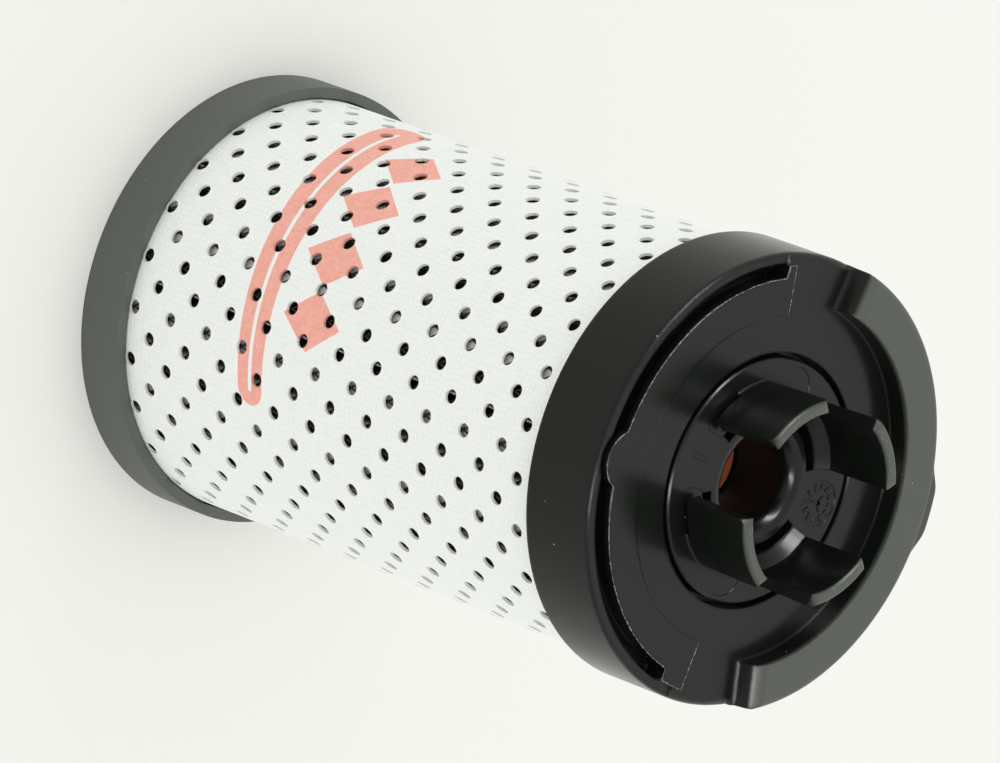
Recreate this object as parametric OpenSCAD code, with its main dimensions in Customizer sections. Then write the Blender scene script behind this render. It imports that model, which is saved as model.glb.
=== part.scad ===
// Hydraulic filter element with a bypass valve in its closed end cap.
// Millimetres. The axis is Z and the outer face of the outlet cap lies on z = 0.
// Angles run anticlockwise from +X, and the rim lug of the closed cap points along +Y.

/* [Wrap sleeve] */
// Outer diameter of the perforated wrap
sleeve_d = 81; // [76:0.5:90]
// Sheet thickness of the wrap
sleeve_t = 0.6; // [0.4:0.1:0.8]
// Diameter of one perforation
hole_d = 2.7; // [1.6:0.1:3.4]
// Distance between holes along one row
hole_pitch = 10; // [9:0.5:12]
// Number of hole rows round the wrap
hole_rows = 50; // [24:2:50]

/* [End caps] */
// Length from the outlet face to the plate of the closed cap
body_len = 138; // [120:1:180]
// Wall of both caps outside the wrap
cap_wall = 2.1; // [1.6:0.1:3]
// Height of the outlet cap wall
outlet_h = 10.25; // [8:0.25:12]
// Depth of the closed cap skirt
skirt_h = 16.4; // [14:0.2:24]
// Radius of the outlet bore
bore_r = 16.5; // [14:0.5:16.5]
// Height of the C-shaped rim above the plate
rim_h = 4.7; // [3:0.1:7]
// Depth of the curved slot
slot_deep = 4.5; // [3:0.1:5]

/* [Valve] */
// Height of the fingers above the hub face
finger_h = 16.2; // [8:0.2:24]
// Angle one finger spans
finger_span = 45; // [20:1:60]
// Radius of the valve opening
valve_r = 8.5; // [6:0.1:9]
// Radius of the poppet stem
stem_r = 2; // [1.5:0.1:2.6]
// Turns of the spring between its flat end turns
spring_turns = 4; // [3:1:4]

/* [Pleated pack] */
// Number of pleats
pleats = 34; // [24:1:36]
// Thickness of one sheet of the pack
sheet_t = 0.25; // [0.15:0.01:0.26]

/* [Hidden] */
$fn = 96;
eps = 0.01;

// Radii from the wrap outwards and inwards
sleeve_r = sleeve_d / 2;
cap_gap = 0.3;
cap_in_r = sleeve_r + cap_gap;
cap_r = cap_in_r + cap_wall;
net_out_r = sleeve_r - sleeve_t - 0.1;
net_t = 0.8;
net_in_r = net_out_r - net_t;
tip_r = net_in_r - 0.2;
net_rim = 2;
net_bar = 1.4;
first_row = 262.4;

// Radii from the neck of the valve outwards
neck_r = 17;
barb_reach = 1.5;
tube_t = 1.2;
tube_in_r = neck_r + barb_reach + 0.5;
tube_out_r = tube_in_r + tube_t;
tube_hole_d = 6;
ring_d = 2.4;
groove_r = bore_r + ring_d + 0.1;
collar_wall = 1.2;
collar_r = max(tube_out_r, groove_r + collar_wall);
valley_r = collar_r + 0.3 + 4 * sheet_t;
pack_turn = 1.9;
tip_share = 0.237;
valley_share = 0.39;
clip_w = 1.5;
clip_t = 0.4;
clip_deep = 4.5;

// Levels of the outlet cap
base_t = 2.5;
resin_t = 3;
pack_z0 = base_t + resin_t;
collar_h = 13;
groove_z = 5;
groove_h = 3.4;

// Levels of the closed cap, counted down from its plate
plate_t = 2.5;
cap_deep = 6.5;
cap_floor_z = body_len - cap_deep;
pack_z1 = cap_floor_z - resin_t;
skirt_z = body_len - skirt_h;
edge_round = 1.3;

// The slot and the plate edge inside it
slot_in_r = cap_r - 4.6;
slot_out_r = cap_r - 1.9;
slot_mid = 270;
slot_a0 = 192;
slot_a1 = 342;
band_half = 79.4;
band_drop = 0.5;
slot_wall_r = slot_in_r - 0.9;
lip_t = 1.2;
floor_t = 2;
bump_r = 5.66;
bump_reach = cap_r - 1.7;
bump_gap = 0.8;
plateau_r = cap_r - 11.6;
plateau_out_r = slot_out_r - 0.4;
plateau_half = 82;
plateau_h = 0.35;

// The rim and its lug
rim_in_r = cap_r - 8.4;
rim_a0 = 12;
rim_a1 = 168;
rim_slope = 75;
foot_round = 0.9;
head_round = 3;
ramp_steps = 8;
lug_mid = 90;
lug_half = 12;
lug_flat = 4.5;
lug_reach = 1.5;
lug_drop = 3;

// The ledge for the hub
hub_r = 23.25;
hub_gap = 1.05;
hub_well_r = hub_r + hub_gap;
well_wall = 1.8;
ledge_r = neck_r + 0.3;
ledge_top = body_len - 4.8;
hub_seal_t = 0.6;

// Valve body, from its face down
hub_face = body_len + 0.2;
hub_edge = 0.35;
hub_under = ledge_top + hub_seal_t;
hub_bottom = cap_floor_z - 1.5;
neck_in_r = neck_r - 1.4;
neck_z = hub_bottom - 5;
mouth_round = 2.8;
seat_z = body_len - 14.8;
valve_wall = 2;
finger_mid = 37.5;
finger_in_r = 16.9;
finger_t = 2.4;
finger_lean = 0.4;
finger_round = 2.2;
foot_in_r = 12.3;
foot_out_r = foot_in_r + 2.1;
foot_land = 0.3;
foot_flare = 1.7;
foot_fillet = 0.25;
tip_round = 0.8;
hub_bottom_r = foot_in_r - 0.7;
foot_z = hub_bottom + 1.2;
mark_r = 17.8;
mark_d = 8.8;
mark_deep = 0.15;
mark_turn = 32;
snap_z = hub_bottom - 2.9;
snap_h = 1.2;
snap_out_r = neck_in_r + 0.7;
barb_span = 22;
barb_start = 20;

// Poppet, spring and cage
poppet_r = 10.6;
poppet_top = seat_z - 0.9;
poppet_under = poppet_top - 2.3;
boss_r = valve_r - 0.6;
boss_top = seat_z + 0.6;
seal_t = 0.6;
stem_gap = 0.08;
stem_len = 25;
spring_r = 6.2;
wire_r = 0.7;
spring_gap = 0.3;
spring_top = poppet_under - spring_gap;
spring_len = 15.5;
cage_floor = poppet_under - spring_len;
cage_floor_t = 2.5;
guide_wall = 2.4;
guide_drop = 3;
guide_rise = 1.5;
cage_out_r = neck_in_r - 0.8;
cage_in_r = cage_out_r - 2.6;
cage_ring_h = 4;
cage_ring_z = hub_bottom - cage_ring_h;
leg_span = 24;

module ring(r0, r1, z0, z1) {
    rotate_extrude()
        translate([r0, z0])
            square([r1 - r0, z1 - z0]);
}

module arc_ring(r0, r1, z0, z1, a0, a1) {
    rotate([0, 0, a0])
        rotate_extrude(angle = a1 - a0)
            translate([r0, z0])
                square([r1 - r0, z1 - z0]);
}

// A wall profile whose outer top corner is rounded
module round_wall(r0, r1, z0, z1, round) {
    translate([r0, z0])
        square([r1 - round - r0, z1 - z0]);
    translate([r0, z0])
        square([r1 - r0, z1 - round - z0]);
    translate([r1 - round, z1 - round])
        circle(round, $fn = 32);
}

// Outlet cap: base, wall outside the wrap, and a collar with the seal groove
module outlet_end_cap() {
    color("#23241f")
        rotate_extrude()
            difference() {
                union() {
                    translate([bore_r, 0])
                        square([cap_r - bore_r, base_t]);
                    translate([cap_in_r, 0])
                        square([cap_r - cap_in_r, outlet_h]);
                    translate([bore_r, 0])
                        square([collar_r - bore_r, collar_h]);
                }
                translate([0, groove_z])
                    square([groove_r, groove_h]);
            }
}

module outlet_o_ring() {
    color("#141414")
        rotate_extrude()
            translate([groove_r - ring_d / 2, groove_z + groove_h / 2])
                circle(d = ring_d, $fn = 32);
}

module outlet_potting() {
    color("#b9b7ab")
        ring(collar_r, cap_in_r, base_t, pack_z0);
}

// Cap profile: skirt with its top corner rounded or square, plate, slot floor, hub ledge
module cap_profile(corner) {
    slot_floor = body_len - slot_deep;
    if (corner > 0)
        round_wall(cap_in_r, cap_r, skirt_z, body_len, corner);
    else
        translate([cap_in_r, skirt_z])
            square([cap_wall, skirt_h]);
    translate([hub_well_r, body_len - plate_t])
        square([cap_in_r + 0.5 - hub_well_r, plate_t]);
    translate([slot_wall_r - floor_t, slot_floor - floor_t])
        square([cap_in_r + 0.5 - slot_wall_r + floor_t, slot_deep + floor_t - plate_t + 0.5]);
    translate([hub_well_r, cap_floor_z])
        square([well_wall, body_len - cap_floor_z]);
    translate([ledge_r, cap_floor_z])
        square([hub_well_r + 0.5 - ledge_r, ledge_top - cap_floor_z]);
}

// Side view of one rim end: fillet at the plate, steep wall, wide rounding into the top
function ramp_line() =
    let (wall_x = foot_round * sin(rim_slope),
         wall_z = foot_round * (1 - cos(rim_slope)),
         head_z = rim_h - head_round * (1 - cos(rim_slope)),
         head_x = wall_x + (head_z - wall_z) / tan(rim_slope),
         top_x = head_x + head_round * sin(rim_slope))
    concat(
        [for (i = [0:ramp_steps])
            let (a = rim_slope * i / ramp_steps)
            [foot_round * sin(a), foot_round * (1 - cos(a))]],
        [for (i = [0:ramp_steps])
            let (a = rim_slope * (1 - i / ramp_steps))
            [top_x - head_round * sin(a), rim_h - head_round * (1 - cos(a))]]);

function ramp_run() = ramp_line()[2 * ramp_steps + 1][0];

// One end of the rim, laid out along the tangent at the middle of the rim
module rim_ramp_end(turn, side) {
    far = ramp_run() + 2;
    rotate([0, 0, turn])
        translate([rim_in_r - 2, 0, body_len])
            rotate([90, 0, 90])
                linear_extrude(cap_r - rim_in_r + 4)
                    polygon([for (p = concat(ramp_line(), [[ramp_run(), rim_h + 1],
                                                           [far, rim_h + 1], [far, -2], [0, -2]]))
                                [side * p[0], p[1]]]);
}

module rim_body() {
    ramp_angle = asin((ramp_run() + 1) / cap_r);
    intersection() {
        rotate_extrude()
            round_wall(rim_in_r, cap_r, body_len - 1, body_len + rim_h, edge_round);
        union() {
            arc_ring(rim_in_r - 2, cap_r + 2, body_len - 2, body_len + rim_h + 1,
                     rim_a0 + ramp_angle, rim_a1 - ramp_angle);
            rim_ramp_end(rim_a0, 1);
            rim_ramp_end(rim_a1, -1);
        }
    }
}

// Height of the lug above the cap wall at an angle from its middle
function lug_rise(a) =
    let (share = (lug_half - abs(a)) / (lug_half - lug_flat))
    share >= 1 ? lug_reach : lug_reach * (1 - cos(180 * share)) / 2 - 0.1 * (1 - share);

module rim_lug() {
    steps = 20;
    translate([0, 0, body_len - lug_drop])
        linear_extrude(rim_h + lug_drop - edge_round / 2)
            polygon(concat(
                [for (i = [0:steps])
                    let (a = lug_half * (2 * i / steps - 1), r = cap_r + lug_rise(a))
                    [r * cos(lug_mid + a), r * sin(lug_mid + a)]],
                [for (a = [lug_half, -lug_half])
                    [(cap_r - 1) * cos(lug_mid + a), (cap_r - 1) * sin(lug_mid + a)]]));
}

// Slot: wider below the plate edge, with round ends and a bulge round the bump
module slot_cut() {
    z0 = body_len - slot_deep;
    mid_r = (slot_in_r + slot_out_r) / 2;
    rotate([0, 0, slot_a0])
        rotate_extrude(angle = slot_a1 - slot_a0) {
            translate([slot_in_r, z0])
                square([slot_out_r - slot_in_r, slot_deep + 1]);
            translate([slot_wall_r, z0])
                square([slot_out_r - slot_wall_r, slot_deep - lip_t]);
        }
    for (end_turn = [slot_a0, slot_a1])
        rotate([0, 0, end_turn])
            translate([mid_r, 0, z0])
                cylinder(d = slot_out_r - slot_in_r - 0.1, h = slot_deep + 1, $fn = 32);
    intersection() {
        rotate([0, 0, slot_mid])
            translate([bump_reach - bump_r, 0, z0])
                cylinder(r = bump_r + bump_gap, h = slot_deep + 1);
        ring(slot_in_r + 1, cap_r - 0.3, z0, body_len + 1);
    }
}

module plate_bump() {
    intersection() {
        rotate([0, 0, slot_mid])
            translate([bump_reach - bump_r, 0, body_len - lip_t])
                cylinder(r = bump_r, h = lip_t + plateau_h);
        ring(slot_wall_r - 1, cap_r, body_len - lip_t, body_len + plateau_h);
    }
}

// The edge outside the slot lies a little lower than the plate
module band_cut() {
    arc_ring(slot_out_r - 0.1, cap_r + 1, body_len - band_drop, body_len + 1,
             slot_mid - band_half, slot_mid + band_half);
}

// Closed cap: its corner is square under the rim and rounded elsewhere
module closed_end_cap() {
    color("#23241f")
        union() {
            difference() {
                union() {
                    rotate([0, 0, rim_a1])
                        rotate_extrude(angle = 360 + rim_a0 - rim_a1)
                            cap_profile(edge_round);
                    arc_ring(plateau_r, plateau_out_r, body_len - 1, body_len + plateau_h,
                             slot_mid - plateau_half, slot_mid + plateau_half);
                }
                slot_cut();
                band_cut();
            }
            rotate([0, 0, rim_a0])
                rotate_extrude(angle = rim_a1 - rim_a0)
                    cap_profile(0);
            plate_bump();
            rim_body();
            rim_lug();
        }
}

module closed_end_potting() {
    color("#b9b7ab")
        union() {
            ring(tube_in_r, cap_in_r, pack_z1, cap_floor_z);
            ring(hub_well_r + well_wall, slot_wall_r - floor_t, cap_floor_z - 1,
                 body_len - plate_t);
        }
}

// Perforated wrap: rows along the axis, every second row shifted by half a pitch
module wrap_sleeve() {
    first_z = outlet_h + 1;
    row_turn = 360 / hole_rows;
    room = skirt_z - 2 - first_z;
    color("#ecebe6")
        difference() {
            ring(sleeve_r - sleeve_t, sleeve_r, pack_z0, pack_z1);
            for (row = [0:hole_rows - 1]) {
                shift = (row % 2) * hole_pitch / 2;
                for (z = [first_z + shift:hole_pitch:first_z + room])
                    rotate([0, 0, first_row + row * row_turn])
                        translate([sleeve_r - sleeve_t - 1, 0, z])
                            rotate([0, 90, 0])
                                cylinder(d = hole_d, h = sleeve_t + 2, $fn = 16);
            }
        }
}

// Net behind the wrap, with diamond gaps standing for its mesh
module support_net() {
    around = 12;
    rows = 8;
    pitch_z = (pack_z1 - pack_z0 - 2 * net_rim) / rows;
    color("#1c1d1a")
        difference() {
            ring(net_in_r, net_out_r, pack_z0, pack_z1);
            for (row = [0:rows - 1])
                for (i = [0:around - 1])
                    rotate([0, 0, (i + (row % 2) / 2) * 360 / around])
                        translate([net_in_r - 1, 0, pack_z0 + net_rim + (row + 0.5) * pitch_z])
                            rotate([0, 90, 0])
                                cylinder(d = pitch_z - net_bar, h = net_t + 2, $fn = 4);
        }
}

// Outline of the pleats at a depth below their upstream side
function pleat_line(deep) = [
    for (i = [0:pleats - 1])
        let (turn = 360 / pleats,
             out_r = tip_r - deep,
             in_r = valley_r - deep,
             out_a = turn * tip_share - deep / tip_r * 180 / PI,
             in_a = turn * valley_share - deep / valley_r * 180 / PI)
        for (p = [[out_r, -out_a], [out_r, out_a], [in_r, in_a], [in_r, turn - in_a]])
            [p[0] * cos(pack_turn + i * turn + p[1]), p[0] * sin(pack_turn + i * turn + p[1])]];

module pleat_sheet(number) {
    translate([0, 0, pack_z0])
        linear_extrude(pack_z1 - pack_z0)
            difference() {
                polygon(pleat_line(number * sheet_t));
                polygon(pleat_line((number + 1) * sheet_t));
            }
}

module upstream_mesh() {
    color("#8f9491") pleat_sheet(0);
}

module prefilter_fleece() {
    color("#dadbd5") pleat_sheet(1);
}

module filter_media() {
    color("#e6e2d3") pleat_sheet(2);
}

module downstream_mesh() {
    color("#8f9491") pleat_sheet(3);
}

// Folded steel strip in the valley where the ends of the pack meet
module seam_clip() {
    color("#a9adb0")
        rotate([0, 0, pack_turn + 180 / pleats])
            translate([tip_r - 0.3 - clip_deep, -clip_w / 2, pack_z0])
                linear_extrude(pack_z1 - pack_z0)
                    difference() {
                        square([clip_deep, clip_w]);
                        translate([-eps, clip_t])
                            square([clip_deep - clip_t, clip_w - 2 * clip_t]);
                    }
}

module centre_tube() {
    around = 9;
    rows = 10;
    pitch_z = (pack_z1 - collar_h) / rows;
    color("#2a2b27")
        difference() {
            ring(tube_in_r, tube_out_r, collar_h, pack_z1);
            for (row = [0:rows - 1])
                for (i = [0:around - 1])
                    rotate([0, 0, (i + (row % 2) / 2) * 360 / around])
                        translate([tube_in_r - 1, 0, collar_h + (row + 0.5) * pitch_z])
                            rotate([0, 90, 0])
                                cylinder(d = tube_hole_d, h = tube_t + 2, $fn = 24);
        }
}

// Profile of a finger: flared foot inside, small fillet outside, rounded tip
module finger_profile() {
    foot = hub_face - 1;
    tip = hub_face + finger_h;
    out_r = finger_in_r + finger_t;
    polygon([[foot_out_r + foot_land, foot], [out_r + foot_fillet, foot],
             [out_r + foot_fillet, hub_face], [out_r, hub_face + foot_fillet],
             [out_r + finger_lean, tip - tip_round], [out_r + finger_lean - tip_round, tip],
             [finger_in_r + finger_lean + tip_round / 2, tip],
             [finger_in_r + finger_lean, tip - tip_round / 2],
             [finger_in_r, hub_face + foot_flare], [foot_out_r + foot_land, hub_face]]);
    translate([out_r + finger_lean - tip_round, tip - tip_round])
        circle(tip_round, $fn = 32);
}

// One finger: an upright sector of a ring, leaning out a little, with rounded tip corners
module finger() {
    out_r = finger_in_r + finger_t;
    half_w = (out_r + finger_lean) * sin(finger_span / 2) + 0.06;
    intersection() {
        rotate([0, 0, -finger_span / 2])
            rotate_extrude(angle = finger_span)
                finger_profile();
        translate([foot_out_r - 2, 0, hub_face - 2])
            rotate([90, 0, 90])
                linear_extrude(out_r - foot_out_r + 6)
                    finger_outline(half_w, finger_h + 2);
    }
}

// Outline of a finger seen from outside, with round corners at the tip
module finger_outline(half, high) {
    translate([-half, 0])
        square([2 * half, high - finger_round]);
    translate([finger_round - half, 0])
        square([2 * (half - finger_round), high]);
    for (side = [-1, 1])
        translate([side * (half - finger_round), high - finger_round])
            circle(finger_round, $fn = 48);
}

// Hub profile: disc with a rounded mouth, valve tube, neck with the groove for the cage
module hub_profile() {
    difference() {
        union() {
            polygon([[valve_r + mouth_round, hub_under], [hub_r, hub_under],
                     [hub_r, hub_face - hub_edge], [hub_r - hub_edge, hub_face],
                     [valve_r + mouth_round, hub_face]]);
            translate([valve_r, seat_z])
                square([valve_wall, hub_face - mouth_round - seat_z]);
            translate([valve_r, hub_under])
                square([mouth_round + eps, hub_face - mouth_round - hub_under]);
            translate([valve_r + mouth_round, hub_face - mouth_round])
                circle(mouth_round, $fn = 48);
            translate([hub_bottom_r, hub_bottom])
                square([neck_r - hub_bottom_r, hub_under + eps - hub_bottom]);
            translate([neck_in_r, neck_z])
                square([neck_r - neck_in_r, hub_bottom + eps - neck_z]);
        }
        translate([neck_in_r - 1, snap_z])
            square([snap_out_r - neck_in_r + 1, snap_h]);
    }
}

// Barbs that catch under the ledge once the hub is pressed in
module hub_barbs() {
    top = cap_floor_z - 0.3;
    for (i = [0:2])
        rotate([0, 0, i * 120 + barb_start])
            rotate_extrude(angle = barb_span)
                polygon([[neck_r - 0.5, top - 2], [neck_r, top - 2],
                         [neck_r + barb_reach, top - 0.5], [neck_r + barb_reach, top],
                         [neck_r - 0.5, top]]);
}

// Where the ejector pins marked the hub: between the fingers, and as a pair on the slot side
function mark_turns() =
    let (gap_mid = finger_mid + 45)
    [gap_mid, gap_mid + 90, gap_mid + 180 - mark_turn, gap_mid + 180 + mark_turn, gap_mid + 270];

module valve_body() {
    color("#1f201c")
        difference() {
            union() {
                rotate_extrude() hub_profile();
                hub_barbs();
                for (i = [0:3])
                    rotate([0, 0, finger_mid + 90 * i]) finger();
            }
            for (i = [0:3]) {
                mid = finger_mid + 90 * i;
                arc_ring(foot_in_r, foot_out_r, foot_z, hub_face + 1,
                         mid - finger_span / 2, mid + finger_span / 2);
            }
            for (turn = mark_turns())
                rotate([0, 0, turn])
                    translate([mark_r, 0, hub_face - mark_deep])
                        cylinder(d = mark_d, h = 1, $fn = 48);
        }
}

module hub_seal() {
    color("#3a1512")
        ring(ledge_r + 0.4, hub_r - 1, ledge_top, hub_under);
}

// Poppet: disc, boss that shows in the valve opening, spring pilot and stem
module valve_poppet() {
    pilot_r = spring_r - wire_r - 0.4;
    color("#8f4a22")
        union() {
            translate([0, 0, poppet_under])
                cylinder(r = poppet_r, h = poppet_top - poppet_under);
            translate([0, 0, poppet_under])
                cylinder(r = boss_r, h = boss_top - poppet_under);
            translate([0, 0, poppet_under - 2])
                cylinder(r = pilot_r, h = 2 + eps);
            translate([0, 0, poppet_under - stem_len])
                cylinder(r = stem_r, h = stem_len + eps);
        }
}

module poppet_seal() {
    color("#141414")
        ring(boss_r + 0.6, poppet_r - 0.4, poppet_top, poppet_top + seal_t);
}

// Half a turn of wire that ends just inside a bead of wire at each side
module half_turn(turn, tilt, z) {
    translate([0, 0, z])
        rotate([0, tilt, 0])
            rotate([0, 0, turn + 1])
                rotate_extrude(angle = 178)
                    translate([spring_r, 0])
                        circle(wire_r, $fn = 16);
}

// Spring: flat half turns at both ends, joined by tilted half turns
module valve_spring() {
    z0 = cage_floor + wire_r;
    z1 = spring_top - wire_r;
    rise = (z1 - z0) / (2 * spring_turns);
    tilt = atan(rise / (2 * spring_r));
    color("#9da1a3")
        union() {
            half_turn(180, 0, z0);
            for (i = [0:2 * spring_turns - 1])
                half_turn((i % 2) * 180, i % 2 == 0 ? tilt : -tilt, z0 + (i + 0.5) * rise);
            half_turn(0, 0, z1);
            for (i = [0:2 * spring_turns])
                translate([i % 2 == 0 ? spring_r : -spring_r, 0, z0 + i * rise])
                    rotate([90, 0, 0])
                        sphere(wire_r * 1.08, $fn = 24);
        }
}

// Cage profile: ring with the snap bead, and the floor with the stem guide
module cage_profile() {
    guide_r = stem_r + stem_gap;
    translate([cage_in_r - 0.4, cage_ring_z])
        square([neck_in_r - 0.1 - cage_in_r + 0.4, hub_bottom - cage_ring_z]);
    translate([cage_in_r, snap_z + 0.15])
        square([snap_out_r - 0.1 - cage_in_r, snap_h - 0.3]);
    translate([guide_r, cage_floor - cage_floor_t])
        square([cage_out_r + 0.4 - guide_r, cage_floor_t]);
    translate([guide_r, cage_floor - cage_floor_t - guide_drop])
        square([guide_wall, cage_floor_t + guide_drop + guide_rise]);
}

// Cage: ring that snaps into the neck, four legs, floor with the stem guide
module valve_cage() {
    color("#1f201c")
        union() {
            rotate_extrude() cage_profile();
            for (i = [0:3])
                arc_ring(cage_in_r, cage_out_r, cage_floor - 1, cage_ring_z + 1,
                         90 * i + 45 - leg_span / 2, 90 * i + 45 + leg_span / 2);
        }
}

outlet_end_cap();
outlet_o_ring();
outlet_potting();
closed_end_cap();
closed_end_potting();
wrap_sleeve();
support_net();
upstream_mesh();
prefilter_fleece();
filter_media();
downstream_mesh();
seam_clip();
centre_tube();
valve_body();
hub_seal();
valve_poppet();
poppet_seal();
valve_spring();
valve_cage();
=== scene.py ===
# %% [markdown]
# A hydraulic filter element keeps grit out of the oil of a machine. Its solid parts come from a
# CAD model, and this lesson gives them their looks in Blender: moulded plastic, a white
# perforated wrap with a printed pattern, and the net and pleats that show through its holes.
# The real part is moulded, pleated, potted and wrapped, and each step leaves marks worth showing.

import math
import random

import bmesh
import bpy
from mathutils import Matrix, Vector


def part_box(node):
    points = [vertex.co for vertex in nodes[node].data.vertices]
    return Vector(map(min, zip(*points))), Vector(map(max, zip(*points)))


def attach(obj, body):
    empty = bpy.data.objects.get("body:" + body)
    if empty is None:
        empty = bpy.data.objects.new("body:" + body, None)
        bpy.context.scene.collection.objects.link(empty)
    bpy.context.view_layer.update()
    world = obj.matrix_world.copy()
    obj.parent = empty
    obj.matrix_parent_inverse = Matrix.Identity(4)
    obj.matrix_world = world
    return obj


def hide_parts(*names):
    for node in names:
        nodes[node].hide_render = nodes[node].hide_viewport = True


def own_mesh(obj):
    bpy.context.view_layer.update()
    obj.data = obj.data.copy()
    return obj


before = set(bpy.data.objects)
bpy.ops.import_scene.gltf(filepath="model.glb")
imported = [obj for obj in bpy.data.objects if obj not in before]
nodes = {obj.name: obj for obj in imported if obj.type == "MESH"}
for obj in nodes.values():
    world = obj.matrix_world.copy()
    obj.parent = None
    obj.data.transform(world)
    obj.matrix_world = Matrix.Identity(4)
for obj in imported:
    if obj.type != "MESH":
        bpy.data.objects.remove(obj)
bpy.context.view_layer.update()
MM = 0.001
AXIS_BODY = "element"
VALVE_BODY = "poppet"
random.seed(7)
print("parts loaded:", len(nodes))

# %% [markdown]
# Sizes are read from the parts themselves, so that the details stay on their surfaces when the
# CAD model changes. The wrap's box gives its radius, and the caps give the levels to work from.

# %% Measure the parts
wrap_low, wrap_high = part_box("wrap_sleeve")
net_low, net_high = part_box("support_net")
cap_low, cap_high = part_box("closed_end_cap")
hub_low, hub_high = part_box("valve_body")
wrap_radius = wrap_high.x
net_radius = net_high.x
pleat_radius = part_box("upstream_mesh")[1].x
cap_radius = cap_high.x
plate_z = cap_high.z - 4.7 * MM
hub_face_z = plate_z + 0.2 * MM
tip_z = hub_high.z
print("wrap radius mm:", round(wrap_radius / MM, 2), "cap radius mm:", round(cap_radius / MM, 2))


# %% [markdown]
# Materials here are built by code, node by node. Three small helpers keep that short: one makes
# a material, one adds a node and fills its sockets, and one adds a single sum or product.

# %% Material helpers
def new_material(name, colour, roughness):
    """A plain material with one shader, its colour and its roughness."""
    material = bpy.data.materials.new(name)
    material.use_nodes = True
    shader = material.node_tree.nodes["Principled BSDF"]
    shader.inputs["Base Color"].default_value = (*colour, 1)
    shader.inputs["Roughness"].default_value = roughness
    return material, material.node_tree, shader


def add_node(tree, kind, **values):
    """A node of a kind, with its settings and its input values filled in by name."""
    node = tree.nodes.new(kind)
    for key, value in values.items():
        if hasattr(node, key):
            setattr(node, key, value)
        else:
            node.inputs[key.replace("_", " ")].default_value = value
    return node


def sum_node(tree, operation, first, second=None):
    """One step of arithmetic on two sockets or numbers; gives the socket of the result."""
    node = tree.nodes.new("ShaderNodeMath")
    node.operation = operation
    for socket, value in zip(node.inputs, (first, second)):
        if value is None:
            continue
        if isinstance(value, (int, float)):
            socket.default_value = value
        else:
            tree.links.new(value, socket)
    return node.outputs[0]


def new_group(name, inputs, outputs):
    """An empty shader group with number inputs and the outputs asked for."""
    group = bpy.data.node_groups.new(name, "ShaderNodeTree")
    for label, value in inputs.items():
        socket = group.interface.new_socket(label, in_out="INPUT", socket_type="NodeSocketFloat")
        socket.default_value = value
    for label in outputs:
        group.interface.new_socket(label, in_out="OUTPUT", socket_type="NodeSocketFloat")
    return group, group.nodes.new("NodeGroupInput"), group.nodes.new("NodeGroupOutput")


def add_group(tree, group, **values):
    """A use of a group in a material, with its inputs filled in by name."""
    node = tree.nodes.new("ShaderNodeGroup")
    node.node_tree = group
    for key, value in values.items():
        node.inputs[key.replace("_", " ")].default_value = value
    return node


def add_bump(tree, shader, height, distance, strength=1.0):
    """Bump from a height socket, linked to the shader's normal."""
    bump = add_node(tree, "ShaderNodeBump", Strength=strength, Distance=distance)
    tree.links.new(height, bump.inputs["Height"])
    tree.links.new(bump.outputs["Normal"], shader.inputs["Normal"])
    return bump


# %% [markdown]
# Woven sheet shows threads that pass over and under each other. On a round part the pattern is
# laid out by the angle round the axis and the height along it, and it must close after one turn,
# so it takes a whole number of threads. Two sine waves multiplied give the over and under.

# %% Weave pattern
def make_weave_group():
    """Height of a plain weave round the Z axis: threads round it, and their spacing along it."""
    group, start, end = new_group("weave", {"Threads": 300, "Spacing": 0.8 * MM}, ["Height"])
    place = group.nodes.new("ShaderNodeTexCoord")
    split = group.nodes.new("ShaderNodeSeparateXYZ")
    group.links.new(place.outputs["Object"], split.inputs[0])
    angle = sum_node(group, "ARCTAN2", split.outputs["Y"], split.outputs["X"])
    round_turn = sum_node(group, "MULTIPLY", angle, start.outputs["Threads"])
    along = sum_node(group, "DIVIDE", split.outputs["Z"], start.outputs["Spacing"])
    along_turn = sum_node(group, "MULTIPLY", along, 2 * math.pi)
    over = sum_node(group, "SINE", round_turn)
    under = sum_node(group, "SINE", along_turn)
    both = sum_node(group, "MULTIPLY", over, under)
    height = sum_node(group, "MULTIPLY_ADD", both, 0.5)
    group.links.new(height, end.inputs["Height"])
    return group


weave_group = make_weave_group()
print("weave group nodes:", len(weave_group.nodes))

# %% [markdown]
# Moulded plastic is never quite even. It has a fine grain, a slow change of gloss, and it picks
# up dust. One group gives all three as plain values, so both black plastics can share it.

# %% Moulded plastic pattern
def make_plastic_group():
    """Grain height, gloss change and dust mask of a moulded plastic surface."""
    group, start, end = new_group(
        "moulded surface", {"Grain": 900, "Dust size": 420}, ["Height", "Gloss", "Dust"])
    place = group.nodes.new("ShaderNodeTexCoord")
    grain = add_node(group, "ShaderNodeTexNoise", Detail=3.0)
    group.links.new(place.outputs["Object"], grain.inputs["Vector"])
    group.links.new(start.outputs["Grain"], grain.inputs["Scale"])
    slow = add_node(group, "ShaderNodeTexNoise", Scale=45.0, Detail=2.0)
    group.links.new(place.outputs["Object"], slow.inputs["Vector"])
    specks = add_node(group, "ShaderNodeTexVoronoi", Randomness=1.0)
    group.links.new(place.outputs["Object"], specks.inputs["Vector"])
    group.links.new(start.outputs["Dust size"], specks.inputs["Scale"])
    few = add_node(group, "ShaderNodeTexNoise", Scale=160.0, Detail=1.0)
    group.links.new(place.outputs["Object"], few.inputs["Vector"])
    near = sum_node(group, "LESS_THAN", specks.outputs["Distance"], 0.07)
    some = sum_node(group, "GREATER_THAN", few.outputs["Fac"], 0.66)
    group.links.new(grain.outputs["Fac"], end.inputs["Height"])
    group.links.new(slow.outputs["Fac"], end.inputs["Gloss"])
    group.links.new(sum_node(group, "MULTIPLY", near, some), end.inputs["Dust"])
    return group


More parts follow.
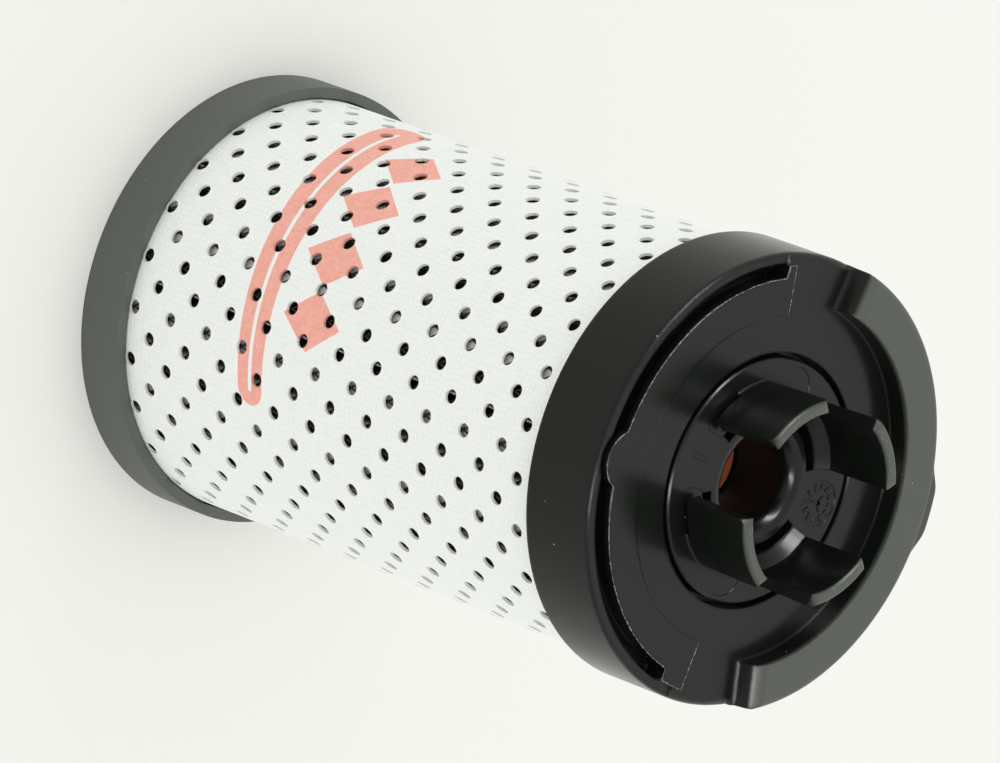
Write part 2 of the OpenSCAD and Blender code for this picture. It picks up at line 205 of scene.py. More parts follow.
plastic_group = make_plastic_group()
print("plastic group nodes:", len(plastic_group.nodes))


# %% [markdown]
# The caps and the valve are black moulded plastic. Where the mould was polished they are glossy
# and dark, and where it was rough, as on the top of the rim and the tips of the fingers, they
# are dull and greyer. A level along the axis tells the two apart. Soft edges come from a bevel
# that the shader works out, so the parts keep their shape.

# %% Black plastics
def plastic_material(name, colour, roughness, edge_radius, dull_from=None):
    """Satin moulded plastic with grain, uneven gloss, soft edges, specks of dust and a dull top."""
    dull_colour = (0.075, 0.082, 0.071)
    material, tree, shader = new_material(name, colour, roughness)
    shader.inputs["Specular IOR Level"].default_value = 0.18
    surface = add_group(tree, plastic_group)
    rough = sum_node(tree, "MULTIPLY_ADD", surface.outputs["Gloss"], 0.2)
    tree.nodes[-1].inputs[2].default_value = roughness - 0.1
    paint = add_node(tree, "ShaderNodeMix", data_type="RGBA")
    paint.inputs[6].default_value = (*colour, 1)
    paint.inputs[7].default_value = (*dull_colour, 1)
    paint.inputs[0].default_value = 0.0
    if dull_from is not None:
        place = tree.nodes.new("ShaderNodeTexCoord")
        split = tree.nodes.new("ShaderNodeSeparateXYZ")
        tree.links.new(place.outputs["Object"], split.inputs[0])
        above = add_node(tree, "ShaderNodeMapRange", From_Min=dull_from - 0.4 * MM,
                         From_Max=dull_from + 0.4 * MM)
        tree.links.new(split.outputs["Z"], above.inputs["Value"])
        tree.links.new(above.outputs["Result"], paint.inputs[0])
        rough = sum_node(tree, "ADD", rough, sum_node(tree, "MULTIPLY", above.outputs["Result"], 0.2))
    dusty = add_node(tree, "ShaderNodeMix", data_type="RGBA")
    dusty.inputs[7].default_value = (0.3, 0.3, 0.28, 1)
    tree.links.new(surface.outputs["Dust"], dusty.inputs[0])
    tree.links.new(paint.outputs[2], dusty.inputs[6])
    tree.links.new(dusty.outputs[2], shader.inputs["Base Color"])
    rough = sum_node(tree, "ADD", rough, sum_node(tree, "MULTIPLY", surface.outputs["Dust"], 0.4))
    tree.links.new(rough, shader.inputs["Roughness"])
    bump = add_bump(tree, shader, surface.outputs["Height"], 0.03 * MM, 0.5)
    edge = tree.nodes.new("ShaderNodeBevel")
    edge.samples = 4
    edge.inputs["Radius"].default_value = edge_radius
    tree.links.new(edge.outputs["Normal"], bump.inputs["Normal"])
    return material


near_black = plastic_material("near_cap_plastic", (0.0065, 0.0082, 0.0066), 0.22, 0.8 * MM,
                              cap_high.z - 0.8 * MM)
far_black = plastic_material("far_cap_plastic", (0.1, 0.109, 0.097), 0.5, 0.4 * MM)
valve_black = plastic_material("valve_plastic", (0.006, 0.0076, 0.0062), 0.23, 0.4 * MM,
                               tip_z - 0.4 * MM)
print("plastics:", near_black.name, far_black.name, valve_black.name)

# %% [markdown]
# The wrap is white sheet printed in salmon. The print here is a band that narrows towards one
# end and a row of lozenges, both on a slant, and it is repeated on the far side. The masks are
# made from distances, which a comparison turns into zero outside the shape and one inside it.

# %% Printed pattern
BAND_Z = 41 * MM
BAND_HALF = 4.2 * MM
BAND_TAPER = 0.03
LINE_HALF = 0.45 * MM
BAND_SPAN = 46.0
PRINT_SLANT = 0.11
LOZENGE_Z = 55.2 * MM
LOZENGE_HIGH = 7.6 * MM
LOZENGE_WIDE = 5.8 * MM
LOZENGE_STEP = 18.0
LOZENGES = 4
PRINT_MIDDLES = (241.0, 61.0)


def distance_round(tree, angle, middle):
    """Distance in metres round the wrap from a middle angle in degrees."""
    turned = sum_node(tree, "SUBTRACT", angle, math.radians(middle))
    wrapped = sum_node(tree, "WRAP", turned, math.pi)
    tree.nodes[-1].inputs[2].default_value = -math.pi
    return sum_node(tree, "MULTIPLY", wrapped, wrap_radius)


def band_mask(tree, aside, height):
    """Mask of the band: it narrows to one side and has a thin bare line along its middle."""
    across = sum_node(tree, "SUBTRACT", height, BAND_Z)
    past = sum_node(tree, "SUBTRACT", sum_node(tree, "ABSOLUTE", aside),
                    math.radians(BAND_SPAN) * wrap_radius)
    past = sum_node(tree, "MAXIMUM", past, 0.0)
    far = sum_node(tree, "SQRT", sum_node(
        tree, "ADD", sum_node(tree, "POWER", across, 2.0), sum_node(tree, "POWER", past, 2.0)))
    half = sum_node(tree, "SUBTRACT", BAND_HALF, sum_node(tree, "MULTIPLY", aside, BAND_TAPER))
    inside = sum_node(tree, "LESS_THAN", far, half)
    return sum_node(tree, "MULTIPLY", inside, sum_node(tree, "GREATER_THAN", far, LINE_HALF))


def lozenge_mask(tree, aside, height):
    """Mask of one lozenge: the sum of its two shares of height and width is below one."""
    up = sum_node(tree, "ABSOLUTE", sum_node(tree, "SUBTRACT", height, LOZENGE_Z))
    share = sum_node(tree, "ADD", sum_node(tree, "DIVIDE", up, LOZENGE_HIGH),
                     sum_node(tree, "DIVIDE", sum_node(tree, "ABSOLUTE", aside), LOZENGE_WIDE))
    return sum_node(tree, "LESS_THAN", share, 1.0)


def print_mask(tree):
    """The whole printed pattern as one mask."""
    place = tree.nodes.new("ShaderNodeTexCoord")
    split = tree.nodes.new("ShaderNodeSeparateXYZ")
    tree.links.new(place.outputs["Object"], split.inputs[0])
    angle = sum_node(tree, "ARCTAN2", split.outputs["Y"], split.outputs["X"])
    mask = None
    for middle in PRINT_MIDDLES:
        aside = distance_round(tree, angle, middle)
        drop = sum_node(tree, "MULTIPLY", aside, PRINT_SLANT)
        height = sum_node(tree, "SUBTRACT", split.outputs["Z"], drop)
        shapes = [band_mask(tree, aside, height)]
        for i in range(LOZENGES):
            degrees = middle - 4 + (i - (LOZENGES - 1) / 2) * LOZENGE_STEP
            shapes.append(lozenge_mask(tree, distance_round(tree, angle, degrees), height))
        for shape in shapes:
            mask = shape if mask is None else sum_node(tree, "MAXIMUM", mask, shape)
    return mask


# %% [markdown]
# The holes of the wrap were punched, which leaves a soft raised rim round each of them. Their
# lattice is known, so the distance to the nearest hole can be worked out: two slanted
# coordinates are whole numbers at every hole, and rounding them finds the nearest one.

# %% Hole edges
HOLE_ROWS = 50
HOLE_PITCH = 10 * MM
HOLE_RADIUS = 1.35 * MM
FIRST_HOLE_Z = 11.25 * MM
FIRST_ROW_DEGREES = 262.4


def make_hole_edge_group():
    """Height of the rims pressed round the holes, from the distance to the nearest hole."""
    group, start, end = new_group("hole edges", {"Width": 0.9 * MM}, ["Height"])
    place = group.nodes.new("ShaderNodeTexCoord")
    split = group.nodes.new("ShaderNodeSeparateXYZ")
    group.links.new(place.outputs["Object"], split.inputs[0])
    angle = sum_node(group, "ARCTAN2", split.outputs["Y"], split.outputs["X"])
    turned = sum_node(group, "SUBTRACT", angle, math.radians(FIRST_ROW_DEGREES))
    row = sum_node(group, "MULTIPLY", turned, HOLE_ROWS / (2 * math.pi))
    raised = sum_node(group, "SUBTRACT", split.outputs["Z"], FIRST_HOLE_Z)
    half_step = sum_node(group, "DIVIDE", raised, HOLE_PITCH / 2)
    first = sum_node(group, "MULTIPLY", sum_node(group, "ADD", row, half_step), 0.5)
    second = sum_node(group, "MULTIPLY", sum_node(group, "SUBTRACT", row, half_step), 0.5)
    first = sum_node(group, "SUBTRACT", first, sum_node(group, "ROUND", first))
    second = sum_node(group, "SUBTRACT", second, sum_node(group, "ROUND", second))
    aside = sum_node(group, "MULTIPLY", sum_node(group, "ADD", first, second),
                     2 * math.pi * wrap_radius / HOLE_ROWS)
    along = sum_node(group, "MULTIPLY", sum_node(group, "SUBTRACT", first, second),
                     HOLE_PITCH / 2)
    far = sum_node(group, "SQRT", sum_node(
        group, "ADD", sum_node(group, "POWER", aside, 2.0), sum_node(group, "POWER", along, 2.0)))
    past = sum_node(group, "SUBTRACT", far, HOLE_RADIUS)
    share = sum_node(group, "DIVIDE", past, start.outputs["Width"])
    share = sum_node(group, "MINIMUM", sum_node(group, "MAXIMUM", share, 0.0), 1.0)
    falling = sum_node(group, "SUBTRACT", 1.0, share)
    group.links.new(sum_node(group, "MULTIPLY", falling, falling), end.inputs["Height"])
    return group


hole_edge_group = make_hole_edge_group()
print("hole edge group nodes:", len(hole_edge_group.nodes))


# %% [markdown]
# The sheet is pressed between rollers that leave a faint grid of small squares. The grooves are
# narrow, so each is a cosine raised to a power, and a noise bends them and lets them fade.
# The material adds up the grid and the hole edges into one height, since a shader has one
# normal. It lays the ink over the white, and darkens both a little in the grooves, where less
# light reaches.

# %% Wrap material
GRID_ROUND = 220
GRID_PITCH = 1.15 * MM
GRID_WANDER = 1.6 * MM


def groove(tree, turns):
    """Narrow grooves at each whole turn of a value given in half turns."""
    return sum_node(tree, "POWER", sum_node(tree, "ABSOLUTE", sum_node(tree, "COSINE", turns)), 5.0)


def pressed_grid(tree, place):
    """Depth of the grooves between the pressed squares of the sheet."""
    split = tree.nodes.new("ShaderNodeSeparateXYZ")
    tree.links.new(place.outputs["Object"], split.inputs[0])
    angle = sum_node(tree, "ARCTAN2", split.outputs["Y"], split.outputs["X"])
    fade = add_node(tree, "ShaderNodeTexNoise", Scale=420.0, Detail=2.0)
    tree.links.new(place.outputs["Object"], fade.inputs["Vector"])
    bent_angle = sum_node(tree, "ADD", angle, sum_node(
        tree, "MULTIPLY", fade.outputs["Fac"], GRID_WANDER / wrap_radius))
    bent_height = sum_node(tree, "ADD", split.outputs["Z"], sum_node(
        tree, "MULTIPLY", fade.outputs["Fac"], GRID_WANDER))
    across = groove(tree, sum_node(tree, "MULTIPLY", bent_angle, GRID_ROUND / 2))
    along = groove(tree, sum_node(tree, "MULTIPLY", bent_height, math.pi / GRID_PITCH))
    return sum_node(tree, "MULTIPLY", sum_node(tree, "MAXIMUM", across, along), fade.outputs["Fac"])


def wrap_material():
    """White pressed sheet with the printed pattern."""
    white = (0.855, 0.878, 0.855)
    salmon = (0.87, 0.36, 0.28)
    material, tree, shader = new_material("wrap_sheet", white, 0.6)
    place = tree.nodes.new("ShaderNodeTexCoord")
    wear = add_node(tree, "ShaderNodeTexNoise", Scale=900.0, Detail=2.0)
    tree.links.new(place.outputs["Object"], wear.inputs["Vector"])
    ink = sum_node(tree, "MULTIPLY_ADD", wear.outputs["Fac"], 0.35)
    tree.nodes[-1].inputs[2].default_value = 0.76
    ink = sum_node(tree, "MULTIPLY", print_mask(tree), sum_node(tree, "MINIMUM", ink, 1.0))
    mix = add_node(tree, "ShaderNodeMix", data_type="RGBA")
    mix.inputs[6].default_value = (*white, 1)
    mix.inputs[7].default_value = (*salmon, 1)
    tree.links.new(ink, mix.inputs[0])
    grooves = pressed_grid(tree, place)
    shade = add_node(tree, "ShaderNodeMix", data_type="RGBA", blend_type="MULTIPLY")
    shade.inputs[7].default_value = (0.9, 0.915, 0.91, 1)
    tree.links.new(grooves, shade.inputs[0])
    tree.links.new(mix.outputs[2], shade.inputs[6])
    tree.links.new(shade.outputs[2], shader.inputs["Base Color"])
    edges = add_group(tree, hole_edge_group)
    height = sum_node(tree, "SUBTRACT", edges.outputs["Height"], grooves)
    add_bump(tree, shader, height, 0.09 * MM, 0.9)
    return material


wrap_white = wrap_material()
print("wrap material nodes:", len(wrap_white.node_tree.nodes))


# %% [markdown]
# The pleats are stacked sheets. Only the outer mesh shows, as pale tips behind the net. Its
# flanks get painted shade, a greyer colour: they are seen along the wires, and little light
# gets down there.
# The inner parts get plain materials of the right kind, since a cut or a copy may show them.

# %% Other materials
def woven_material(name, colour, threads, spacing, roughness=0.7):
    """Plain woven cloth or mesh in one colour."""
    material, tree, shader = new_material(name, colour, roughness)
    weave = add_group(tree, weave_group, Threads=threads, Spacing=spacing)
    add_bump(tree, shader, weave.outputs["Height"], 0.05 * MM, 0.7)
    return material


def metal_material(name, colour, roughness):
    """Plain metal."""
    material, tree, shader = new_material(name, colour, roughness)
    shader.inputs["Metallic"].default_value = 1.0
    return material


def pleat_material(tip_colour, flank_shade_colour):
    """Woven mesh that is pale on the pressed tips of the pleats, with painted shade greying their
    flanks.
    """
    material, tree, shader = new_material("pleat_mesh", tip_colour, 0.7)
    place = tree.nodes.new("ShaderNodeTexCoord")
    outwards = add_node(tree, "ShaderNodeVectorMath", operation="MULTIPLY")
    outwards.inputs[1].default_value = (1, 1, 0)
    tree.links.new(place.outputs["Object"], outwards.inputs[0])
    radius = add_node(tree, "ShaderNodeVectorMath", operation="LENGTH")
    tree.links.new(outwards.outputs["Vector"], radius.inputs[0])
    tip = add_node(tree, "ShaderNodeMapRange", From_Min=pleat_radius - 1.2 * MM,
                   From_Max=pleat_radius - 0.3 * MM)
    tree.links.new(radius.outputs["Value"], tip.inputs["Value"])
    # The flanks' colour is painted shade, darker down the pleats where little light gets in.
    mix = add_node(tree, "ShaderNodeMix", data_type="RGBA")
    mix.inputs[6].default_value = (*flank_shade_colour, 1)
    mix.inputs[7].default_value = (*tip_colour, 1)
    tree.links.new(tip.outputs["Result"], mix.inputs[0])
    tree.links.new(mix.outputs[2], shader.inputs["Base Color"])
    weave = add_group(tree, weave_group, Threads=700, Spacing=0.4 * MM)
    add_bump(tree, shader, weave.outputs["Height"], 0.05 * MM, 0.7)
    return material


# The second colour is painted shade for the pleat flanks.
mesh_light = pleat_material((0.93, 0.93, 0.9), (0.3, 0.31, 0.29))
mesh_grey = woven_material("inner_mesh", (0.6, 0.6, 0.58), 700, 0.4 * MM)
fleece_white = woven_material("fleece", (0.75, 0.76, 0.73), 500, 0.6 * MM, 0.9)
paper_cream = woven_material("filter_paper", (0.8, 0.77, 0.66), 900, 0.3 * MM, 0.85)
net_black = new_material("net_plastic", (0.006, 0.006, 0.006), 0.38)[0]
resin = new_material("potting_resin", (0.45, 0.44, 0.38), 0.45)[0]
tube_black = new_material("tube_plastic", (0.03, 0.03, 0.028), 0.5)[0]
seal_black = new_material("seal_rubber", (0.02, 0.02, 0.02), 0.45)[0]
seal_red = new_material("flat_seal", (0.12, 0.03, 0.025), 0.5)[0]
orange = new_material("poppet_plastic", (0.42, 0.10, 0.03), 0.4)[0]
clip_steel = metal_material("clip_steel", (0.55, 0.56, 0.57), 0.35)
spring_steel = metal_material("spring_steel", (0.5, 0.51, 0.52), 0.3)

# %% [markdown]
# Each CAD part takes the material of its slot. Nothing else about the part is touched, so it
# keeps the shape and the smooth shading that it was loaded with.

# %% Give the parts their materials
PART_LOOKS = {
    "outlet_end_cap": far_black,
    "outlet_o_ring": seal_black,
    "outlet_potting": resin,
    "closed_end_cap": near_black,
    "closed_end_potting": resin,
    "wrap_sleeve": wrap_white,
    "support_net": net_black,
    "upstream_mesh": mesh_light,
    "prefilter_fleece": fleece_white,
    "filter_media": paper_cream,
    "downstream_mesh": mesh_grey,
    "seam_clip": clip_steel,
    "centre_tube": tube_black,
    "valve_body": valve_black,
    "hub_seal": seal_red,
    "valve_poppet": orange,
    "poppet_seal": seal_black,
    "valve_spring": spring_steel,
    "valve_cage": valve_black,
}
for name, material in PART_LOOKS.items():
    mesh = nodes[name].data
    mesh.materials.clear()
    mesh.materials.append(material)
print("parts painted:", len(PART_LOOKS))


# %% [markdown]
# Small pieces are built with bmesh. The helper turns a bmesh into an object, gives it a material
# and lets it ride on a body of the CAD model, so that it moves as that body does.

# %% Mesh helper
def finish_piece(name, mesh_data, material, body, smooth=True):
    """Makes an object of a bmesh and lets it ride on a body."""
    mesh = bpy.data.meshes.new(name)
    mesh_data.to_mesh(mesh)
    mesh_data.free()
    for face in mesh.polygons:
        face.use_smooth = smooth
    mesh.materials.append(material)
    piece = bpy.data.objects.new(name, mesh)
    bpy.context.scene.collection.objects.link(piece)
    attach(piece, body)
    return piece


def on_cylinder(radius, degrees, height):
    """A point at a radius, an angle round the axis and a height."""
    angle = math.radians(degrees)
    return Vector((radius * math.cos(angle), radius * math.sin(angle), height))


# %% [markdown]
# The net is extruded plastic: two layers of strands that cross in diamonds and are welded where
# they meet. Each strand is a helix, drawn as a tube of five sides along a line of points. The
# net was cut a little off its grain, so one family runs steeper than the other. From one hole of
# the wrap to the next along the axis, the strands shift by a whole number of spaces, so every
# hole of a row shows the same crossing.

# %% Support net
STRANDS = 100
STRAND_RADIUS = 0.22 * MM
STRAND_SIDES = 5
STRAND_STEP_DEGREES = 3.6
CROSSING_DEGREES = 277.0
CROSSING_Z = 10.1 * MM
SHIFTS = (1, -3)


def add_strand(mesh_data, turn_offset, shift, radius):
    """One helical strand as a tube; its shift is the spaces it turns from hole to hole."""
    z0 = net_low.z
    length = net_high.z - net_low.z
    turn = shift * 360 / STRANDS * length / HOLE_PITCH
    slope = math.radians(turn) * radius / length
    first_angle = CROSSING_DEGREES + turn_offset - turn * (CROSSING_Z - z0) / length
    steps = max(8, round(abs(turn) / STRAND_STEP_DEGREES))
    rings = []
    for i in range(steps + 1):
        share = i / steps
        angle = first_angle + turn * share
        centre = on_cylinder(radius, angle, z0 + length * share)
        outwards = on_cylinder(1, angle, 0)
        round_way = Vector((0, 0, 1)).cross(outwards)
        sideways = (round_way - Vector((0, 0, slope))).normalized()
        ring = []
        for k in range(STRAND_SIDES):
            turned = 2 * math.pi * k / STRAND_SIDES
            offset = outwards * math.cos(turned) + sideways * math.sin(turned)
            ring.append(mesh_data.verts.new(centre + offset * STRAND_RADIUS))
        rings.append(ring)
    for near, far in zip(rings, rings[1:]):
        for k in range(STRAND_SIDES):
            after = (k + 1) % STRAND_SIDES
            mesh_data.faces.new((near[k], near[after], far[after], far[k]))


def make_net():
    """Both families of strands as one piece."""
    mesh_data = bmesh.new()
    middle = net_radius - 0.4 * MM
    for shift, radius in zip(SHIFTS, (middle + 0.12 * MM, middle - 0.12 * MM)):
        for i in range(STRANDS):
            add_strand(mesh_data, 360 * i / STRANDS, shift, radius)
    return mesh_data


net = finish_piece("net_strands", make_net(), net_black, AXIS_BODY)
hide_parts("support_net")
print("net faces:", len(net.data.polygons))

# %% [markdown]
# The valve spring pushes the orange disc shut. When the valve opens, the disc comes down and the
# spring gets shorter. This copy of it is one fixed helix that rides on the element. Its first and
# last half turns lie flat, as the ends of a real spring do.

# %% Valve spring
COIL_RADIUS = 6.2 * MM
WIRE_RADIUS = 0.7 * MM
COIL_TURNS = 4
COIL_STEPS = 36
WIRE_SIDES = 8
spring_low, spring_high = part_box("valve_spring")


def make_spring():
    """A helix of wire with a flat half turn at each end."""
    mesh_data = bmesh.new()
    bottom = spring_low.z + WIRE_RADIUS
    rise = spring_high.z - spring_low.z - 2 * WIRE_RADIUS
    rings = []
    for i in range((COIL_TURNS + 1) * COIL_STEPS + 1):
        turns = i / COIL_STEPS
        share = min(max(turns - 0.5, 0), COIL_TURNS) / COIL_TURNS
        centre = on_cylinder(COIL_RADIUS, 360 * turns, bottom + rise * share)
        outwards = on_cylinder(1, 360 * turns, 0)
        ring = []
        for k in range(WIRE_SIDES):
            turned = 2 * math.pi * k / WIRE_SIDES
            offset = outwards * math.cos(turned) + Vector((0, 0, math.sin(turned)))
            ring.append(mesh_data.verts.new(centre + offset * WIRE_RADIUS))
        rings.append(ring)
    for near, far in zip(rings, rings[1:]):
        for k in range(WIRE_SIDES):
            after = (k + 1) % WIRE_SIDES
            mesh_data.faces.new((near[k], near[after], far[after], far[k]))
    mesh_data.faces.new(rings[0][::-1])
    mesh_data.faces.new(rings[-1])
    return mesh_data


spring = finish_piece("spring_coil", make_spring(), spring_steel, AXIS_BODY)
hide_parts("valve_spring")
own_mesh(spring)
print("spring faces:", len(spring.data.polygons))

# %% [markdown]
# A mould leaves marks. The round recess in the hub opposite the slot holds a date wheel, here a
# plain one of petals round an arrow, and two short strokes stand on the slot side. They are low
# raised bars, each a box laid on the hub face and sunk a little into it.

# %% Marks on the hub
MARK_RISE = 0.14 * MM
MARK_DEEP = 0.15 * MM
STAMP_DEGREES = 82.5
STAMP_RADIUS = 17.8 * MM
PETALS = 12
STROKE_DEGREES = 261.3
STROKE_RADIUS = 17.6 * MM


def add_bar(mesh_data, centre, degrees, length, width):
    """A low bar on the hub face, turned by an angle, narrower at its outer end."""
    angle = math.radians(degrees)
    along = Vector((math.cos(angle), math.sin(angle), 0))
    across = Vector((-along.y, along.x, 0))
    corners = []
    for level in (-MARK_RISE, MARK_RISE):
        for step, half in ((-0.5, 0.5), (0.5, 0.3)):
            for side in (-1, 1):
                spot = centre + along * step * length + across * side * half * width
                corners.append(mesh_data.verts.new(spot + Vector((0, 0, level))))
    a, b, c, d, e, f, g, h = corners
    for face in ((a, b, d, c), (e, g, h, f), (a, e, f, b), (c, d, h, g), (a, c, g, e), (b, f, h, d)):
        mesh_data.faces.new(face)


def make_marks():
    """The date wheel and the two strokes as one piece."""
    mesh_data = bmesh.new()
    wheel = on_cylinder(STAMP_RADIUS, STAMP_DEGREES, hub_face_z - MARK_DEEP)
    for i in range(PETALS):
        degrees = 360 * i / PETALS
        add_bar(mesh_data, wheel + on_cylinder(3.2 * MM, degrees, 0), degrees, 1.3 * MM, 0.9 * MM)
    for degrees in (25, 145, 265):
        add_bar(mesh_data, wheel + on_cylinder(0.8 * MM, degrees, 0), degrees, 1.9 * MM, 0.8 * MM)
    for aside in (-0.45 * MM, 0.45 * MM):
        stroke = on_cylinder(STROKE_RADIUS, STROKE_DEGREES, hub_face_z)
        stroke += on_cylinder(aside, STROKE_DEGREES + 90, 0)
        add_bar(mesh_data, stroke, STROKE_DEGREES, 3.6 * MM, 0.3 * MM)
    return mesh_data


marks = finish_piece("hub_marks", make_marks(), valve_black, AXIS_BODY, False)
print("mark faces:", len(marks.data.polygons))

# %% [markdown]
# Where the two halves of a mould meet, a thin rough line of plastic is left: the flash. It is a
# thin tube whose thickness and place waver from point to point. It runs round the raised part of
# the plate, over the tips of the fingers and round the back edge of the skirt. The random
# numbers are seeded, so it is always the same.

# %% Mould flash
flash_grey = new_material("flash", (0.2, 0.205, 0.185), 0.7)[0]
FLASH_SIDES = 5
SLOT_STARTS = 190.4
SLOT_ENDS = 343.6
RAISED_STARTS = 188.0
RAISED_ENDS = 352.0
BUMP_RADIUS = 5.7 * MM
BUMP_FROM_AXIS = cap_radius - 1.7 * MM - BUMP_RADIUS
slot_edge = cap_radius - 4.6 * MM
raised_edge = cap_radius - 2.3 * MM
raised_inner = cap_radius - 11.6 * MM


def arc_points(radius, start_degrees, end_degrees, height, step=0.35 * MM):
    """Points along an arc round the axis, about one step apart."""
    count = max(2, round(radius * math.radians(abs(end_degrees - start_degrees)) / step))
    turns = [start_degrees + (end_degrees - start_degrees) * i / count for i in range(count + 1)]
    return [on_cylinder(radius, degrees, height) for degrees in turns]


def line_points(degrees, start_radius, end_radius, height, step=0.35 * MM):
    """Points along a radius, about one step apart."""
    count = max(2, round(abs(end_radius - start_radius) / step))
    return [on_cylinder(start_radius + (end_radius - start_radius) * i / count, degrees, height)
            for i in range(count + 1)]


def raised_outline(height):
    """The outline of the raised part: radial ends, the slot's edge and the bump."""
    across = math.acos((slot_edge ** 2 + BUMP_FROM_AXIS ** 2 - BUMP_RADIUS ** 2)
                       / (2 * slot_edge * BUMP_FROM_AXIS))
    beside = math.degrees(across)
    half_turn = math.atan2(slot_edge * math.sin(across), slot_edge * math.cos(across) - BUMP_FROM_AXIS)
    bump = []
    for i in range(31):
        turned = half_turn * (i / 15 - 1)
        bump.append(Vector((BUMP_RADIUS * math.sin(turned),
                            -BUMP_FROM_AXIS - BUMP_RADIUS * math.cos(turned), height)))
    return (line_points(RAISED_STARTS, raised_inner, raised_edge, height)
            + arc_points(raised_edge, RAISED_STARTS, SLOT_STARTS, height)
            + arc_points(slot_edge, SLOT_STARTS + 0.8, 270 - beside, height)
            + bump
            + arc_points(slot_edge, 270 + beside, SLOT_ENDS - 0.8, height)
            + arc_points(raised_edge, SLOT_ENDS, RAISED_ENDS, height)
            + line_points(RAISED_ENDS, raised_edge, raised_inner, height))


def add_flash(mesh_data, points, thick):
    """A wavering thin tube along a line of points."""
    rings = []
    for i, point in enumerate(points):
        ahead = points[min(i + 1, len(points) - 1)] - points[max(i - 1, 0)]
        sideways = ahead.cross(Vector((0, 0, 1))).normalized()
        centre = point + sideways * random.uniform(-0.05, 0.05) * MM
        size = thick * (0.15 + 1.1 * random.random() ** 2)
        ring = []
        for k in range(FLASH_SIDES):
            turned = 2 * math.pi * k / FLASH_SIDES
            offset = sideways * math.cos(turned) + Vector((0, 0, math.sin(turned)))
            ring.append(mesh_data.verts.new(centre + offset * size))
        rings.append(ring)
    for near, far in zip(rings, rings[1:]):
        for k in range(FLASH_SIDES):
            after = (k + 1) % FLASH_SIDES
            mesh_data.faces.new((near[k], near[after], far[after], far[k]))


FINGER_MIDDLE = 37.5
FINGER_TIP_SPAN = 36.0
FINGER_TIP_RADIUS = 18.5 * MM
flash_data = bmesh.new()
add_flash(flash_data, raised_outline(plate_z + 0.35 * MM), 0.12 * MM)
add_flash(flash_data, arc_points(cap_radius - 0.15 * MM, 0, 360, cap_low.z + 0.08 * MM), 0.12 * MM)
for finger in range(4):
    middle = FINGER_MIDDLE + 90 * finger
    for radius in (FINGER_TIP_RADIUS, FINGER_TIP_RADIUS - 0.75 * MM):
        add_flash(flash_data, arc_points(radius, middle - FINGER_TIP_SPAN / 2,
                                         middle + FINGER_TIP_SPAN / 2, tip_z - 0.04 * MM), 0.07 * MM)
flash = finish_piece("mould_flash", flash_data, flash_grey, AXIS_BODY)
print("flash faces:", len(flash.data.polygons))

# %% [markdown]
# The camera stands where the photographer stood, worked out from the lattice of holes in the
# wrap. Its three directions are given as vectors, since it is rolled: the axis of the filter
# runs to the lower right of the picture. A long lens from far off keeps the caps nearly equal.

# %% Camera
camera_data = bpy.data.cameras.new("camera")
camera_data.lens = 360
camera_data.sensor_width = 36
camera_data.clip_start = 0.1
camera_data.clip_end = 20
camera_data.dof.use_dof = False
camera = bpy.data.objects.new("camera", camera_data)
bpy.context.scene.collection.objects.link(camera)
picture_right = Vector((-0.2618, 0.6746, 0.6902)).normalized()
view_back = Vector((-0.0957, -0.7298, 0.677)).normalized()
picture_up = view_back.cross(picture_right)
turn = Matrix((picture_right, picture_up, view_back)).transposed().to_4x4()
camera.matrix_world = Matrix.Translation((-0.1798, -1.3659, 1.3366)) @ turn
bpy.context.scene.camera = camera

# %% [markdown]
# The stage is a pale floor under the outlet cap. Where the camera or a reflection sees it, it
# glows a little by itself, so that shadows stay as faint as in a white light tent. It gives the
# object no more light than plain pale paper would.

# %% Floor
GLOW_SHARE = 0.15


def floor_material():
    """Pale matt floor that shows only a part of the shadows."""
    material, tree, shader = new_material("floor", (0.76, 0.76, 0.73), 0.9)
    glow = add_node(tree, "ShaderNodeEmission", Strength=1.0)
    glow.inputs["Color"].default_value = (0.92, 0.91, 0.875, 1)
    path = tree.nodes.new("ShaderNodeLightPath")
    seen = sum_node(tree, "MAXIMUM", path.outputs["Is Camera Ray"], path.outputs["Is Glossy Ray"])
    seen = sum_node(tree, "MAXIMUM", seen, path.outputs["Is Transmission Ray"])
    blend = tree.nodes.new("ShaderNodeMixShader")
    tree.links.new(sum_node(tree, "MULTIPLY", seen, GLOW_SHARE), blend.inputs["Fac"])
    tree.links.new(shader.outputs[0], blend.inputs[1])
    tree.links.new(glow.outputs[0], blend.inputs[2])
    tree.links.new(blend.outputs[0], tree.nodes["Material Output"].inputs["Surface"])
    return material


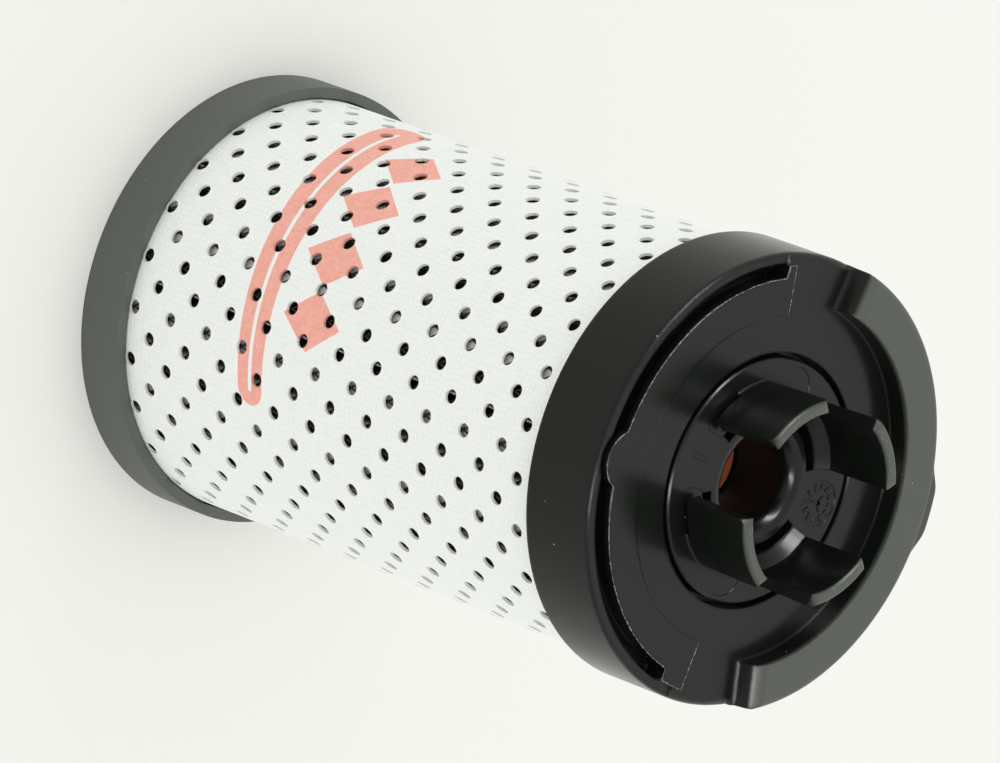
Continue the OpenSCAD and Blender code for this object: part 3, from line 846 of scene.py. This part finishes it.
floor_data = bmesh.new()
bmesh.ops.create_grid(floor_data, x_segments=1, y_segments=1, size=3.0)
floor_mesh = bpy.data.meshes.new("floor")
floor_data.to_mesh(floor_mesh)
floor_data.free()
floor = bpy.data.objects.new("floor", floor_mesh)
floor.location.z = -0.05 * MM
bpy.context.scene.collection.objects.link(floor)
floor_mesh.materials.append(floor_material())


# %% [markdown]
# A light tent surrounds the object with nearly even light, so the white wrap keeps its tone all
# round. It is brighter up and behind, which the flat black plate of the near cap reflects. Two
# strip lights stand up to the left and in front. They are only seen in reflections, as soft
# streaks on the rounded black edges, and leave the wrap as it is.

# %% Lamp and sky
def add_strip(name, place, target, width, length, power):
    """A strip light at a place, aimed at a target, that only reflections show."""
    data = bpy.data.lights.new(name, "AREA")
    data.shape = "RECTANGLE"
    data.size = width
    data.size_y = length
    data.energy = power
    light = bpy.data.objects.new(name, data)
    light.location = place
    aim = Vector(target) - Vector(place)
    light.rotation_mode = "QUATERNION"
    light.rotation_quaternion = aim.to_track_quat("-Z", "Y")
    light.visible_diffuse = False
    light.visible_camera = False
    bpy.context.scene.collection.objects.link(light)
    return light


def make_sky(bright_side, low, high):
    """A sky that goes from low to high towards its bright side."""
    world = bpy.data.worlds.new("world")
    bpy.context.scene.world = world
    world.use_nodes = True
    tree = world.node_tree
    place = tree.nodes.new("ShaderNodeTexCoord")
    towards = add_node(tree, "ShaderNodeVectorMath", operation="DOT_PRODUCT")
    towards.inputs[1].default_value = Vector(bright_side).normalized()
    tree.links.new(place.outputs["Generated"], towards.inputs[0])
    level = add_node(tree, "ShaderNodeMapRange", From_Min=-0.4, To_Min=low, To_Max=high)
    tree.links.new(towards.outputs["Value"], level.inputs["Value"])
    tree.links.new(level.outputs["Result"], tree.nodes["Background"].inputs["Strength"])
    tree.nodes["Background"].inputs["Color"].default_value = (1.0, 1.0, 0.985, 1)


cap_centre = (0, 0, plate_z)
add_strip("left strip", (-1.25, -0.27, 1.09), cap_centre, 0.35, 1.4, 50)
add_strip("front strip", (0.54, -1.0, 1.25), cap_centre, 0.25, 1.4, 36)
make_sky((0.1, 0.5, 0.8), 0.9, 1.33)
bpy.context.scene.view_settings.view_transform = "Standard"
